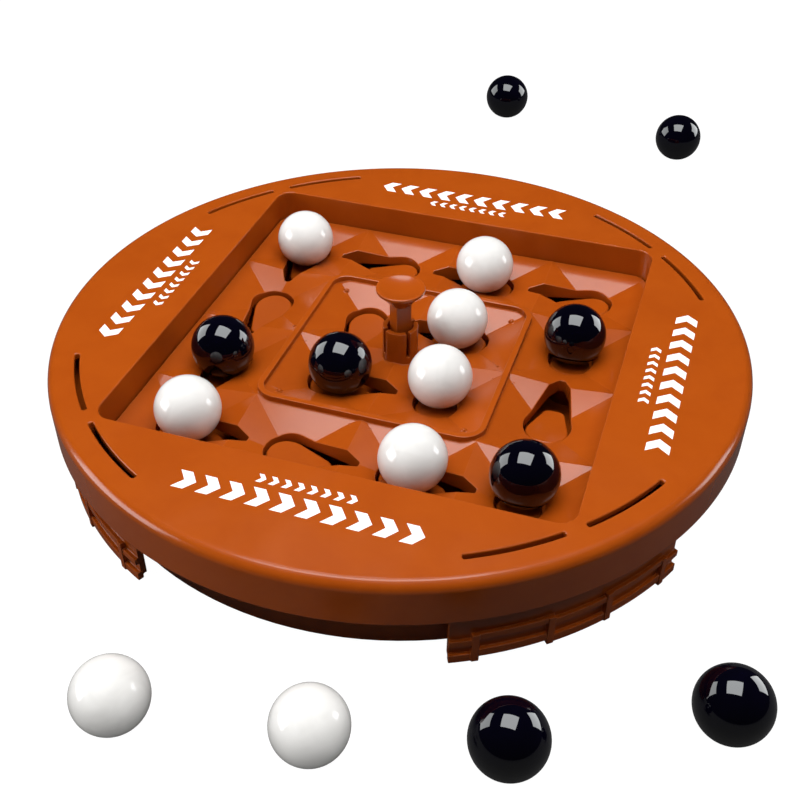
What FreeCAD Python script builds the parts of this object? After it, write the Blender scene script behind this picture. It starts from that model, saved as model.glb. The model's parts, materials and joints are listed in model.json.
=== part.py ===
import FreeCAD, Part
# Round marble board with a square well: marbles sit on a faceted track tray over fixed pads.
# Pressing the centre knob sinks the tray, the pads come up through it, and every marble rolls
# one seat on. Millimetres, +Z up; the origin is under the knob, on the table.
import math
import os
import re

import Sketcher

SIZES = {
    # seats and marbles
    "pitch": 35.0,              # one seat to the next; the well is four seats square
    "marble_size": 20.0,
    "marble_shift": 3.5,        # a marble lies this far down its seat
    "marble_clear": 0.13,       # between a marble and the sides of its hole
    "loose_gap": 29.0,          # from the disc's edge to the middle of a loose marble, more or less
    # heights of the casing
    "disc_height": 32.9,
    "disc_wall": 2.2,
    "edge_round": 3.0,
    "skirt_depth": 14.3,
    "skirt_wall": 2.2,
    "drum_lift": 1.1,
    "floor_wall": 2.5,
    # widths of the casing
    "recess_corner": 5.2,
    "recess_wall": 1.6,
    "recess_reach": 17.9,
    "drum_gap": 0.3,
    "drum_wall": 1.5,
    "drum_sink": 6.0,           # the drum's lip lies this far under the disc
    "lip_wall": 1.2,
    "lip_gap": 0.3,
    "rim_overhang": 9.0,
    "slot_width": 1.5,
    "slot_start": 1.9,          # degrees either side of each diagonal
    "slot_end": 17.9,
    # the track tray
    "recess_depth": 10.0,
    "tray_gap": 0.4,
    "tray_wall": 1.8,
    "tray_rim_wall": 1.5,
    "tray_rim_depth": 6.0,
    "cell_dip": 5.45,
    "saddle_dip": 1.6,
    "hole_radius": 7.3,
    "hole_throat": 3.3,
    "hole_reach": 4.7,
    "hole_tip": 0.9,
    "hole_wall": 1.3,
    "hole_depth": 6.9,          # the walls about the holes end this far below the tray's edge
    "rib_offset": 0.4,
    "rib_width": 2.0,
    "rib_height": 1.5,
    "rib_corner": 6.2,
    "stud_inset": 5.3,
    "stud_radius": 0.9,
    "press_travel": 6.0,
    # the lifter plate and its pads
    "plate_inset": 2.0,
    "plate_wall": 2.0,
    "pad_gap": 0.8,
    "pad_reach": 13.0,
    "pad_end": 3.1,
    "pad_corner": 2.6,
    "pad_round": 0.7,
    "pad_slope": 0.16,
    "pad_clear": 0.35,
    # guides, stops and springs
    "post_radius": 2.5,
    "post_clear": 0.05,
    "tube_wall": 1.3,
    "tube_clear": 1.8,
    "stop_head": 1.2,
    "stop_radius": 3.4,
    "stop_clear": 0.7,
    "stop_gap": 0.1,
    "coil_radius": 4.0,
    "coil_wire": 0.8,
    "coil_turns": 5.0,
    "seat_depth": 1.5,
    "peg_height": 2.0,
    # the knob and its collar
    "collar_outer": 5.7,
    "collar_inner": 4.1,
    "collar_height": 10.4,
    "collar_slot": 6.0,         # degrees either side of each diagonal
    "hub_radius": 6.0,
    "hub_floor": 3.0,
    "stem_radius": 3.2,
    "stem_clear": 0.05,
    "grip_radius": 3.7,
    "cone_height": 4.9,
    "head_radius": 7.7,
    "head_rim": 1.1,
    "dish_radius": 6.7,
    "dish_depth": 1.1,
    "knob_height": 8.2,
    # screws
    "screw_radius": 1.3,
    "screw_slack": 0.3,
    "head_wide": 2.7,
    "head_tall": 1.4,
    "boss_radius": 4.0,
    "boss_split": 14.0,
    "boss_sink": 5.0,
    "cover_screw_long": 16.0,
    "plate_screw_deep": 1.8,
    "plate_screw_inset": 6.5,
    # the corner legs
    "leg_setback": 1.75,
    "leg_relief": 1.5,
    "leg_wall": 2.0,
    "leg_half": 20.0,           # degrees either side of each diagonal
    "leg_top_gap": 0.2,
    "leg_post": 1.1,            # degrees wide
    "leg_post_height": 10.4,
    "leg_inner_post": 4.9,
    "leg_outer_post": 16.2,
    "rail_height": 2.2,
    "stub_rail": 7.2,
    "side_rail": 9.3,
    "mid_rail": 8.2,
    "side_lift": 1.4,
    "leg_boss": 2.8,
    "leg_screw_angle": 12.0,
    "leg_screw_height": 10.0,
    "leg_screw_long": 4.0,
}

# What follows from the sizes above, each as a formula of them.
FORMULAS = {
    "well_half": "2 * pitch",
    "well_wall_half": "well_half + recess_wall",
    "well_wall_corner": "recess_corner + recess_wall",
    "well_reach": "(well_wall_half - well_wall_corner) * sqrt(2) + well_wall_corner",
    "drum_inner": "well_reach + drum_gap",
    "drum_outer": "drum_inner + drum_wall",
    "disc_radius": "drum_outer + rim_overhang",
    "disc_under": "disc_height - disc_wall",
    "skirt_bottom": "disc_height - skirt_depth",
    "floor_top": "drum_lift + floor_wall",
    "drum_top": "disc_under - drum_sink",
    "slot_radius": "drum_outer",
    "tray_edge": "disc_height - recess_depth",
    "tray_half": "well_half - tray_gap",
    "tray_corner": "recess_corner - tray_gap",
    "tray_under": "tray_edge - tray_wall",
    "marble_radius": "marble_size / 2",
    "hole_side": "hole_radius - marble_shift * (hole_radius - hole_throat) / (pitch / 2)",
    "hole_side_height": "tray_edge - cell_dip * (1 - hole_side / (pitch / 2))",
    "marble_centre": "hole_side_height + sqrt((marble_radius + marble_clear)^2 - hole_side^2)",
    "plate_top": "floor_top + plate_wall",
    "plate_half": "well_half - plate_inset",
    "post_end": "drum_lift + stop_clear + press_travel + stop_head",
    "stop_step": "post_end + stop_gap",
    "tube_bore": "post_radius + post_clear",
    "stop_bore": "stop_radius + screw_slack",
    "tube_radius": "stop_bore + tube_wall",
    "tube_top": "tray_under - press_travel - tube_clear",
    "seat_height": "tray_under - seat_depth",
    "peg_radius": "coil_radius - coil_wire / 2 - screw_slack",
    "seat_radius": "coil_radius + coil_wire",
    "hub_bottom": "plate_top + press_travel + head_tall + stop_clear",
    "stem_bottom": "hub_bottom + hub_floor",
    "collar_top": "tray_edge + collar_height",
    "cone_bottom": "collar_top + knob_height",
    "cone_top": "cone_bottom + cone_height",
    "dish_sphere": "(dish_radius^2 + dish_depth^2) / (2 * dish_depth)",
    "boss_ring": "(well_wall_half / cos(22.5) + drum_inner) / 2",
    "boss_ledge": "drum_lift + boss_sink",
    "leg_outer": "disc_radius - leg_setback",
    "leg_face": "leg_outer - leg_relief",
    "leg_inner": "leg_face - leg_wall",
    "leg_top": "disc_under - leg_top_gap",
    "plate_screw_at": "plate_half - plate_screw_inset",
    "rib_line": "pitch + rib_offset",
}

OUTER_ORBIT = [(0, 0), (1, 0), (2, 0), (3, 0), (3, 1), (3, 2),
               (3, 3), (2, 3), (1, 3), (0, 3), (0, 2), (0, 1)]
INNER_ORBIT = [(1, 1), (2, 1), (2, 2), (1, 2)]
WHITE_SEATS = [(0, 3), (2, 3), (2, 2), (2, 1), (0, 0), (2, 0)]
BLACK_SEATS = [(0, 1), (1, 1), (3, 2), (3, 0)]
# Loose marbles on the table: the angle about the board, and how many loose_gap past its edge.
WHITE_LOOSE = [(-101.5, 1.15), (-81.0, 0.85)]
BLACK_LOOSE = [(95.3, 4.25), (73.4, 3.9), (-61.0, 1.0), (-39.0, 1.4)]
DIAGONALS = [45, 135, 225, 315]
SIDES = [(1, 0), (0, 1), (-1, 0), (0, -1)]
QUADRANTS = [(1, 1), (-1, 1), (-1, -1), (1, -1)]

doc = FreeCAD.newDocument("marble_board")
sheet = doc.addObject("Spreadsheet::Sheet", "sizes")
for row, (alias, number) in enumerate(SIZES.items(), 1):
    sheet.set(f"A{row}", alias)
    sheet.set(f"B{row}", str(number))
    sheet.setAlias(f"B{row}", alias)
doc.recompute()


# Formulas and their numbers

def bound(formula):
    """Write a formula with every named size as a cell of the sheet."""
    def swap(match):
        word = match.group()
        if word in SIZES:
            return f"sizes.{word}"
        if word in FORMULAS:
            return f"({bound(FORMULAS[word])})"
        return word
    return re.sub(r"[a-z_]+", swap, str(formula))


def number_of(formula):
    """The number that a formula of the sheet's sizes gives."""
    return float(sheet.evalExpression(bound(formula)))


def bind(obj, **formulas):
    """Bind properties of an object to formulas."""
    for name, formula in formulas.items():
        obj.setExpression(name, bound(formula))
    return obj


def place(obj, x=0, y=0, z=0):
    """Bind an object's place to formulas."""
    for axis, formula in (("x", x), ("y", y), ("z", z)):
        obj.setExpression(f"Placement.Base.{axis}", bound(formula))
    return obj


# Plain solids

def cylinder(name, radius, bottom, top, x=0, y=0):
    """An upright cylinder between two heights."""
    solid = doc.addObject("Part::Cylinder", name)
    bind(solid, Radius=radius, Height=f"({top}) - ({bottom})")
    return place(solid, x, y, bottom)


def box(name, x_range, y_range, z_range):
    """A box between pairs of formulas."""
    solid = doc.addObject("Part::Box", name)
    spans = [f"({high}) - ({low})" for low, high in (x_range, y_range, z_range)]
    bind(solid, Length=spans[0], Width=spans[1], Height=spans[2])
    return place(solid, x_range[0], y_range[0], z_range[0])


def fuse(name, parts):
    """Several solids joined into one."""
    joined = doc.addObject("Part::MultiFuse", name)
    joined.Shapes = parts
    return joined


def cut(name, base, tools):
    """A solid with the tools taken out of it."""
    result = doc.addObject("Part::Cut", name)
    result.Base = base
    result.Tool = tools[0] if len(tools) == 1 else fuse(name + "_tools", tools)
    return result


def group(name, parts):
    """Separate solids kept in one node."""
    kept = doc.addObject("Part::Compound", name)
    kept.Links = parts
    return kept


def rounded_block(name, half, corner, bottom, top):
    """A square block about Z with round upright corners."""
    flat = f"({half}) - ({corner})"
    wide = (f"-({half})", half)
    narrow = (f"-({flat})", flat)
    parts = [box(name + "_long", wide, narrow, (bottom, top)),
             box(name + "_deep", narrow, wide, (bottom, top))]
    for x, y in QUADRANTS:
        parts.append(cylinder(name + "_corner", corner, bottom, top,
                              f"{x} * ({flat})", f"{y} * ({flat})"))
    return fuse(name, parts)


def sector(name, inner, outer, bottom, top, start, end):
    """Part of a ring about Z between two angles in degrees."""
    sides = []
    for part, radius in (("outside", outer), ("inside", inner)):
        side = doc.addObject("Part::Cylinder", f"{name}_{part}")
        spare = 0 if part == "outside" else 1
        bind(side, Radius=radius, Height=f"({top}) - ({bottom}) + {2 * spare}",
             Angle=f"({end}) - ({start}) + {2 * spare}")
        place(side, 0, 0, f"({bottom}) - {spare}")
        side.Placement.Rotation = FreeCAD.Rotation(FreeCAD.Vector(0, 0, 1), number_of(start) - spare)
        sides.append(side)
    return cut(name, sides[0], [sides[1]])


def turned_body(name, outline):
    """A PartDesign body turned about Z from an outline of (radius, height) formulas."""
    body = doc.addObject("PartDesign::Body", name)
    plane = next(item for item in body.Origin.OriginFeatures if item.Role == "XZ_Plane")
    sketch = body.newObject("Sketcher::SketchObject", name + "_outline")
    sketch.AttachmentSupport = [(plane, "")]
    sketch.MapMode = "FlatFace"
    corners = [FreeCAD.Vector(number_of(radius), number_of(height), 0) for radius, height in outline]
    count = len(corners)
    for index, corner in enumerate(corners):
        sketch.addGeometry(Part.LineSegment(corner, corners[(index + 1) % count]), False)
    for index in range(count):
        sketch.addConstraint(Sketcher.Constraint("Coincident", index, 2, (index + 1) % count, 1))
    for index, pair in enumerate(outline):
        for kind, formula in zip(("DistanceX", "DistanceY"), pair):
            if formula == "0":
                sketch.addConstraint(Sketcher.Constraint("PointOnObject", index, 1, -2))
                continue
            limit = sketch.addConstraint(
                Sketcher.Constraint(kind, -1, 1, index, 1, number_of(formula)))
            sketch.setExpression(f"Constraints[{limit}]", bound(formula))
    turn = body.newObject("PartDesign::Revolution", name + "_turn")
    turn.Profile = sketch
    turn.ReferenceAxis = (sketch, ["V_Axis"])
    turn.Angle = 360
    doc.recompute()
    return body, turn


def round_edge(body, feature, radius, height, size):
    """Round a turned body's circular edge that has the given radius and height."""
    fillet = body.newObject("PartDesign::Fillet", body.Name + "_round")
    names = [f"Edge{index}" for index, edge in enumerate(feature.Shape.Edges, 1)
             if isinstance(edge.Curve, Part.Circle)
             and abs(edge.Curve.Radius - number_of(radius)) < 0.01
             and abs(edge.Curve.Center.z - number_of(height)) < 0.01]
    fillet.Base = (feature, names)
    bind(fillet, Radius=size)
    return body


# The seats and the way from each to the next

def seat_centre(seat):
    """The middle of a seat, in the plane."""
    pitch = number_of("pitch")
    return FreeCAD.Vector((seat[0] - 1.5) * pitch, (seat[1] - 1.5) * pitch, 0)


def seat_steps():
    """Each seat with the unit step to the seat that its marble rolls to."""
    steps = {}
    for orbit in (OUTER_ORBIT, INNER_ORBIT):
        for seat, following in zip(orbit, orbit[1:] + orbit[:1]):
            steps[seat] = (following[0] - seat[0], following[1] - seat[1])
    return steps


STEPS = seat_steps()


def teardrop(radius, neck, neck_half, tip=None, tip_half=None):
    """A flat drop along +X: a round end about the origin, straight sides to the neck, then a tip."""
    turn = math.atan2(neck_half, neck) + math.acos(radius / math.hypot(neck, neck_half))
    side = [FreeCAD.Vector(radius * math.cos(turn), radius * math.sin(turn), 0),
            FreeCAD.Vector(neck, neck_half, 0)]
    if tip is not None:
        side.append(FreeCAD.Vector(tip, tip_half, 0))
    mirrored = [FreeCAD.Vector(point.x, -point.y, 0) for point in reversed(side)]
    corners = side + mirrored
    edges = [Part.LineSegment(start, end).toShape() for start, end in zip(corners, corners[1:])]
    edges.append(Part.Arc(corners[-1], FreeCAD.Vector(-radius, 0, 0), corners[0]).toShape())
    return Part.Face(Part.Wire(Part.__sortEdges__(edges)))


def at_seat(shape, seat):
    """A shape drawn along +X about the origin, turned and moved to a seat."""
    step = STEPS[seat]
    angle = math.degrees(math.atan2(step[1], step[0]))
    moved = shape.copy()
    moved.Placement = FreeCAD.Placement(
        seat_centre(seat), FreeCAD.Rotation(FreeCAD.Vector(0, 0, 1), angle)) * moved.Placement
    return moved


def feature(name, shape):
    """A shape made with Part's own functions, kept as an object."""
    made = doc.addObject("Part::Feature", name)
    made.Shape = shape
    return made


# The casing

def top_cover():
    """Disc and skirt in one, with the well's walls, the arc slots and the screw bosses."""
    rim, turn = turned_body("cover_rim", [
        ("pitch", "disc_height"), ("disc_radius", "disc_height"),
        ("disc_radius", "skirt_bottom"), ("disc_radius - skirt_wall", "skirt_bottom"),
        ("disc_radius - skirt_wall", "disc_under"), ("pitch", "disc_under")])
    round_edge(rim, turn, "disc_radius", "disc_height", "edge_round")
    parts = [rim, rounded_block("well_wall", "well_wall_half", "well_wall_corner",
                                "disc_height - recess_reach", "disc_height - disc_wall / 2")]
    tools = [rounded_block("well", "well_half", "recess_corner",
                           "disc_height - recess_reach - 1", "disc_height + 1")]
    for index in range(8):
        x, y = boss_place(index)
        parts.append(cylinder("cover_boss", "boss_radius", "boss_split",
                              "disc_height - disc_wall / 2", x, y))
        tools.append(cylinder("cover_pilot", "screw_radius", "boss_split - 1",
                              "boss_ledge + cover_screw_long + 1", x, y))
    for diagonal in DIAGONALS:
        for low, high in (("slot_start", "slot_end"), ("-slot_end", "-slot_start")):
            tools.append(sector("arc_slot", "slot_radius - slot_width / 2",
                                "slot_radius + slot_width / 2", "disc_under - 1",
                                "disc_height + 1", f"{diagonal} + {low}", f"{diagonal} + {high}"))
    return cut("top_cover", fuse("cover_whole", parts), tools)


def boss_place(index):
    """The place of one of the eight screw bosses, as two formulas."""
    angle = 22.5 + 45 * index
    return f"boss_ring * cos({angle})", f"boss_ring * sin({angle})"


def base_shell():
    """Round tub with screw bosses and the four guide tubes of the tray."""
    drum, turn = turned_body("base_drum", [
        ("0", "drum_lift"), ("drum_outer", "drum_lift"), ("drum_outer", "drum_top - lip_wall"),
        ("leg_inner - lip_gap", "drum_top - lip_wall"), ("leg_inner - lip_gap", "drum_top"),
        ("drum_inner", "drum_top"), ("drum_inner", "floor_top"), ("0", "floor_top")])
    round_edge(drum, turn, "drum_outer", "drum_lift", "drum_wall / 2")
    parts = [drum]
    tools = []
    for index in range(8):
        x, y = boss_place(index)
        parts.append(cylinder("base_boss", "boss_radius", "floor_top - 1", "boss_split", x, y))
        tools.append(cylinder("boss_sink", "head_wide + screw_slack", "drum_lift - 1",
                              "boss_ledge", x, y))
        tools.append(cylinder("boss_bore", "screw_radius + screw_slack", "boss_ledge - 1",
                              "boss_split + 1", x, y))
    for x, y in QUADRANTS:
        guide = (f"{x} * pitch", f"{y} * pitch")
        parts.append(cylinder("guide_tube", "tube_radius", "floor_top - 1", "tube_top", *guide))
        tools.append(cylinder("guide_bore", "tube_bore", "stop_step - 1", "tube_top + 1", *guide))
        tools.append(cylinder("guide_sink", "stop_bore", "drum_lift - 1", "stop_step", *guide))
        corner = (f"{x} * plate_screw_at", f"{y} * plate_screw_at")
        tools.append(cylinder("plate_pilot", "screw_radius", "floor_top - plate_screw_deep",
                              "floor_top + 1", *corner))
    for diagonal in DIAGONALS:
        for side in (-1, 1):
            tools.append(radial("leg_bore", "screw_radius + screw_slack", "drum_inner - 1",
                                "drum_outer + 1", f"{diagonal} + {side} * leg_screw_angle"))
    return cut("base_shell", fuse("base_whole", parts), tools)


def radial(name, radius, near, far, angle):
    """A cylinder at the leg screws' height that points outwards from Z."""
    solid = doc.addObject("Part::Cylinder", name)
    bind(solid, Radius=radius, Height=f"({far}) - ({near})")
    place(solid, f"({near}) * cos({angle})", f"({near}) * sin({angle})", "leg_screw_height")
    outwards = FreeCAD.Vector(1, 0, 0)
    turn = FreeCAD.Rotation(FreeCAD.Vector(0, 0, 1), number_of(angle))
    solid.Placement.Rotation = turn * FreeCAD.Rotation(FreeCAD.Vector(0, 0, 1), outwards)
    return solid


def leg_relief():
    """The fence on a leg's face: posts, and two rails in each panel between them."""
    strip = ("leg_face - leg_relief / 2", "leg_outer")
    parts = []
    for side in (-1, 1):
        for post in ("leg_inner_post", "leg_outer_post"):
            parts.append(sector("leg_post", *strip, "0", "leg_post_height",
                                f"{side} * {post} - leg_post / 2",
                                f"{side} * {post} + leg_post / 2"))
    panels = [("-leg_half", "-leg_outer_post", "stub_rail", "0"),
              ("-leg_outer_post", "-leg_inner_post", "side_rail", "side_lift"),
              ("-leg_inner_post", "leg_inner_post", "mid_rail", "0"),
              ("leg_inner_post", "leg_outer_post", "side_rail", "side_lift"),
              ("leg_outer_post", "leg_half", "stub_rail", "0")]
    rail_strip = ("leg_face - leg_relief / 2", "leg_outer - leg_relief / 4")
    for start, end, upper, lower in panels:
        parts.append(sector("upper_rail", *rail_strip, f"{upper} - rail_height / 2",
                            f"{upper} + rail_height / 2", start, end))
        parts.append(sector("lower_rail", *rail_strip, lower,
                            f"{lower} + rail_height * 1.3", start, end))
    return parts


def corner_leg():
    """A curved leg along +X: its wall behind the skirt, the fence in relief and two screw bosses."""
    parts = [sector("leg_panel", "leg_inner", "leg_face", "side_lift", "leg_top",
                    "-leg_half", "leg_half")]
    parts += leg_relief()
    tools = []
    for side in (-1, 1):
        angle = f"{side} * leg_screw_angle"
        parts.append(radial("leg_boss", "leg_boss", "drum_outer", "leg_face - leg_wall / 2", angle))
        tools.append(radial("leg_pilot", "screw_radius", "drum_outer - 1",
                            "drum_inner + leg_screw_long", angle))
    return cut("leg_pattern", fuse("leg_whole", parts), tools)


# The tray that sinks

def facet_block(drop):
    """A block whose top is the sixteen dished seats, lowered by a drop, down to the table."""
    pitch = number_of("pitch")
    edge = number_of("tray_edge") - drop
    up = FreeCAD.Vector(0, 0, 1)
    saddles = {tuple(seat_centre(seat) + FreeCAD.Vector(*step, 0) * (pitch / 2))
               for seat, step in STEPS.items()}
    faces = []
    for seat in STEPS:
        centre = seat_centre(seat)
        bottom = centre + up * (edge - number_of("cell_dip"))
        for x, y in SIDES:
            middle = centre + FreeCAD.Vector(x, y, 0) * (pitch / 2)
            along = FreeCAD.Vector(-y, x, 0) * (pitch / 2)
            left, right = middle + along + up * edge, middle - along + up * edge
            rim = [left, right]
            if tuple(middle) in saddles:
                rim.insert(1, middle + up * (edge - number_of("saddle_dip")))
            for start, end in zip(rim, rim[1:]):
                faces.append(Part.Face(Part.makePolygon([start, bottom, end, start])))
    half = 2 * pitch
    for x, y in SIDES:
        middle = FreeCAD.Vector(x, y, 0) * half
        along = FreeCAD.Vector(-y, x, 0)
        top = [middle + along * (pitch * step) + up * edge for step in (2, 1, 0, -1, -2)]
        ends = [middle - along * half, middle + along * half]
        faces.append(Part.Face(Part.makePolygon(top + ends + top[:1])))
    corners = [FreeCAD.Vector(x * half, y * half, 0) for x, y in QUADRANTS]
    faces.append(Part.Face(Part.makePolygon(corners + corners[:1])))
    return Part.Solid(Part.Shell(faces))


def drop_prism(grown):
    """The outline of a seat's hole, grown all round, as an upright prism from the table."""
    drop = teardrop(number_of("hole_radius") + grown, number_of("pitch / 2"),
                    number_of("hole_throat") + grown, number_of("pitch / 2 + hole_reach") + grown,
                    number_of("hole_tip") + grown / 2)
    return drop.extrude(FreeCAD.Vector(0, 0, number_of("disc_height")))


def seat_holes():
    """The sixteen drop-shaped holes, as upright cutters."""
    prism = drop_prism(0)
    return feature("seat_holes", Part.Compound([at_seat(prism, seat) for seat in STEPS]))


def seat_walls():
    """What the walls about the holes are cut from: a thick drop under the facets of each seat."""
    prism = drop_prism(number_of("hole_wall"))
    prism.translate(FreeCAD.Vector(0, 0, number_of("tray_edge - hole_depth")))
    under = facet_block(number_of("tray_wall / 2"))
    return [feature("seat_wall", at_seat(prism, seat).common(under)) for seat in STEPS]


def rib():
    """The rounded square rib between the outer and the inner orbit."""
    low, high = "tray_edge - tray_wall / 2", "tray_edge + rib_height"
    outside = rounded_block("rib_outside", "rib_line + rib_width / 2",
                            "rib_corner + rib_width / 2", low, high)
    inside = rounded_block("rib_inside", "rib_line - rib_width / 2",
                           "rib_corner - rib_width / 2", f"{low} - 1", f"{high} + 1")
    return cut("orbit_rib", outside, [inside])


def track_tray():
    """Faceted tray with its rim, rib, studs, collar, hub, guide posts and spring seats."""
    shell = cut("facet_shell", feature("facet_top", facet_block(0)),
                [feature("facet_under", facet_block(number_of("tray_wall")))])
    trimmed = doc.addObject("Part::Common", "facet_tray")
    trimmed.Base = shell
    trimmed.Tool = rounded_block("tray_outline", "tray_half", "tray_corner", "1", "disc_height")
    rim = cut("tray_rim",
              rounded_block("rim_outside", "tray_half", "tray_corner",
                            "tray_edge - tray_rim_depth", "tray_edge - tray_wall / 2"),
              [rounded_block("rim_inside", "tray_half - tray_rim_wall",
                             "tray_corner - tray_rim_wall", "1", "disc_height")])
    low = "tray_edge - tray_wall / 2"
    parts = [trimmed, rim, rib(), cylinder("hub", "hub_radius", "hub_bottom", low),
             cylinder("collar", "collar_outer", f"{low} - 1", "collar_top")]
    tools = [cylinder("collar_bore", "collar_inner", "tray_edge", "collar_top + 1"),
             cylinder("stem_bore", "stem_radius + stem_clear", "stem_bottom", "tray_edge + 1"),
             cylinder("hub_bore", "screw_radius + screw_slack", "hub_bottom - 1",
                      "stem_bottom + 1")]
    parts += seat_walls()
    for diagonal in DIAGONALS:
        tools.append(sector("collar_slot", "collar_inner - 1", "collar_outer + 1",
                            "tray_edge + 1", "collar_top + 1",
                            f"{diagonal} - collar_slot", f"{diagonal} + collar_slot"))
    for x, y in QUADRANTS:
        guide = (f"{x} * pitch", f"{y} * pitch")
        parts.append(cylinder("guide_post", "post_radius", "post_end", low, *guide))
        tools.append(cylinder("post_pilot", "screw_radius", "post_end - 1", "post_end + 5", *guide))
        stud = doc.addObject("Part::Sphere", "orbit_stud")
        bind(stud, Radius="stud_radius")
        place(stud, f"{x} * (pitch - stud_inset)", f"{y} * (pitch - stud_inset)",
              "tray_edge - cell_dip * stud_inset / (pitch / 2)")
        parts.append(stud)
    for x, y in SIDES:
        spring = (f"{x} * pitch", f"{y} * pitch")
        parts.append(cylinder("spring_seat", "seat_radius", "seat_height", low, *spring))
        parts.append(cylinder("spring_peg", "peg_radius", "seat_height - peg_height", low, *spring))
    tools.append(seat_holes())
    return cut("track_tray", fuse("tray_whole", parts), tools)


def press_knob():
    """Knob with a dished head, a cone under it, a square neck and a round stem."""
    cone = doc.addObject("Part::Cone", "knob_cone")
    bind(cone, Radius1="grip_radius * cos(30)", Radius2="head_radius - head_rim / 2",
         Height="cone_height")
    place(cone, 0, 0, "cone_bottom")
    grip = doc.addObject("Part::Prism", "knob_grip")
    grip.Polygon = 4
    bind(grip, Circumradius="grip_radius", Height="cone_bottom - tray_edge")
    place(grip, 0, 0, "tray_edge + 1")
    parts = [cylinder("knob_stem", "stem_radius", "stem_bottom", "tray_edge + 2"), grip, cone,
             cylinder("knob_rim", "head_radius", "cone_top", "cone_top + head_rim")]
    dish = doc.addObject("Part::Sphere", "knob_dish")
    bind(dish, Radius="dish_sphere")
    place(dish, 0, 0, "cone_top + head_rim - dish_depth + dish_sphere")
    pilot = cylinder("knob_pilot", "screw_radius", "stem_bottom - 1", "stem_bottom + 9")
    return cut("press_knob", fuse("knob_whole", parts), [pilot, dish])


# The lifter plate, springs, screws and marbles

def seat_pads():
    """The sixteen pads: drops with a top that slopes the way the marbles roll."""
    radius = number_of("hole_radius - pad_gap")
    slope = number_of("pad_slope")
    reach = number_of("pad_reach")
    drop = teardrop(radius, reach, number_of("pad_end"))
    low = number_of("plate_top - plate_wall / 2")
    under_marble = number_of("marble_centre - (marble_radius + pad_clear) * sqrt(1 + pad_slope^2)")
    middle = under_marble + slope * number_of("marble_shift")
    wide = 2 * radius
    start, end = -wide, reach + wide
    side = [FreeCAD.Vector(start, -wide, low), FreeCAD.Vector(end, -wide, low),
            FreeCAD.Vector(end, -wide, middle - slope * end),
            FreeCAD.Vector(start, -wide, middle - slope * start)]
    wedge = Part.Face(Part.makePolygon(side + side[:1])).extrude(FreeCAD.Vector(0, 2 * wide, 0))
    tall = drop.extrude(FreeCAD.Vector(0, 0, number_of("disc_height")))
    ends = [edge for edge in tall.Edges if edge.BoundBox.ZLength > 1
            and edge.BoundBox.XMin > reach / 2]
    pad = tall.makeFillet(number_of("pad_corner"), ends).common(wedge)
    rims = [edge for edge in pad.Edges if edge.BoundBox.ZMin > number_of("plate_top")
            and edge.BoundBox.ZLength < number_of("pad_slope * pitch")]
    pad = pad.makeFillet(number_of("pad_round"), rims)
    return [feature("seat_pad", at_seat(pad, seat)) for seat in STEPS]


def lifter_plate():
    """Plate on the tub's floor that carries the pads and the springs' lower pegs."""
    parts = [rounded_block("plate_sheet", "plate_half", "recess_corner",
                           "floor_top", "plate_top")]
    parts += seat_pads()
    tools = [cylinder("hub_room", "hub_radius + 1", "floor_top - 1", "plate_top + 1")]
    for x, y in QUADRANTS:
        tools.append(cylinder("tube_room", "tube_radius + screw_slack", "floor_top - 1",
                              "plate_top + 1", f"{x} * pitch", f"{y} * pitch"))
        tools.append(cylinder("plate_bore", "screw_radius + screw_slack", "floor_top - 1",
                              "plate_top + 1", f"{x} * plate_screw_at", f"{y} * plate_screw_at"))
    for x, y in SIDES:
        parts.append(cylinder("plate_peg", "peg_radius", "plate_top - 1",
                              "plate_top + peg_height", f"{x} * pitch", f"{y} * pitch"))
    return cut("lifter_plate", fuse("plate_whole", parts), tools)


def return_spring(index):
    """A coil spring between the plate and the tray, beside the inner seats."""
    x, y = SIDES[index]
    path = doc.addObject("Part::Helix", "spring_path")
    bind(path, Radius="coil_radius", Pitch="(seat_height - plate_top - coil_wire) / coil_turns",
         Height="seat_height - plate_top - coil_wire")
    wire = doc.addObject("Part::Circle", "spring_wire")
    bind(wire, Radius="coil_wire / 2")
    wire.Placement.Rotation = FreeCAD.Rotation(FreeCAD.Vector(1, 0, 0), 90)
    place(wire, "coil_radius")
    coil = doc.addObject("Part::Sweep", f"return_spring_{index + 1}")
    coil.Sections = [wire]
    coil.Spine = (path, ["Edge1"])
    coil.Solid = True
    coil.Frenet = True
    place(coil, f"{x} * pitch", f"{y} * pitch", "plate_top + coil_wire / 2")
    return coil


def upright_screw(name, head_low, head_high, shank_low, shank_high, x, y, wide="head_wide"):
    """A pan-head screw along Z, in one solid."""
    return fuse(name, [cylinder(name + "_head", wide, head_low, head_high, x, y),
                       cylinder(name + "_shank", "screw_radius", shank_low, shank_high, x, y)])


def cover_screws():
    """Eight long screws, sunk in the tub's underside, that hold the cover down."""
    return group("cover_screws", [
        upright_screw("cover_screw", "boss_ledge - head_tall", "boss_ledge", "boss_ledge - 1",
                      "boss_ledge + cover_screw_long", *boss_place(index)) for index in range(8)])


def plate_screws():
    """Four short screws that hold the lifter plate to the tub's floor."""
    return group("plate_screws", [
        upright_screw("plate_screw", "plate_top", "plate_top + head_tall",
                      "floor_top - plate_screw_deep + stop_gap", "plate_top + 1",
                      f"{x} * plate_screw_at", f"{y} * plate_screw_at") for x, y in QUADRANTS])


def stop_screws():
    """Four wide-headed screws under the guide posts: they stop the tray on its way up."""
    return group("stop_screws", [
        upright_screw("stop_screw", "post_end - stop_head", "post_end", "post_end - 1",
                      "post_end + 4.5", f"{x} * pitch", f"{y} * pitch", "stop_radius")
        for x, y in QUADRANTS])


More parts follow.
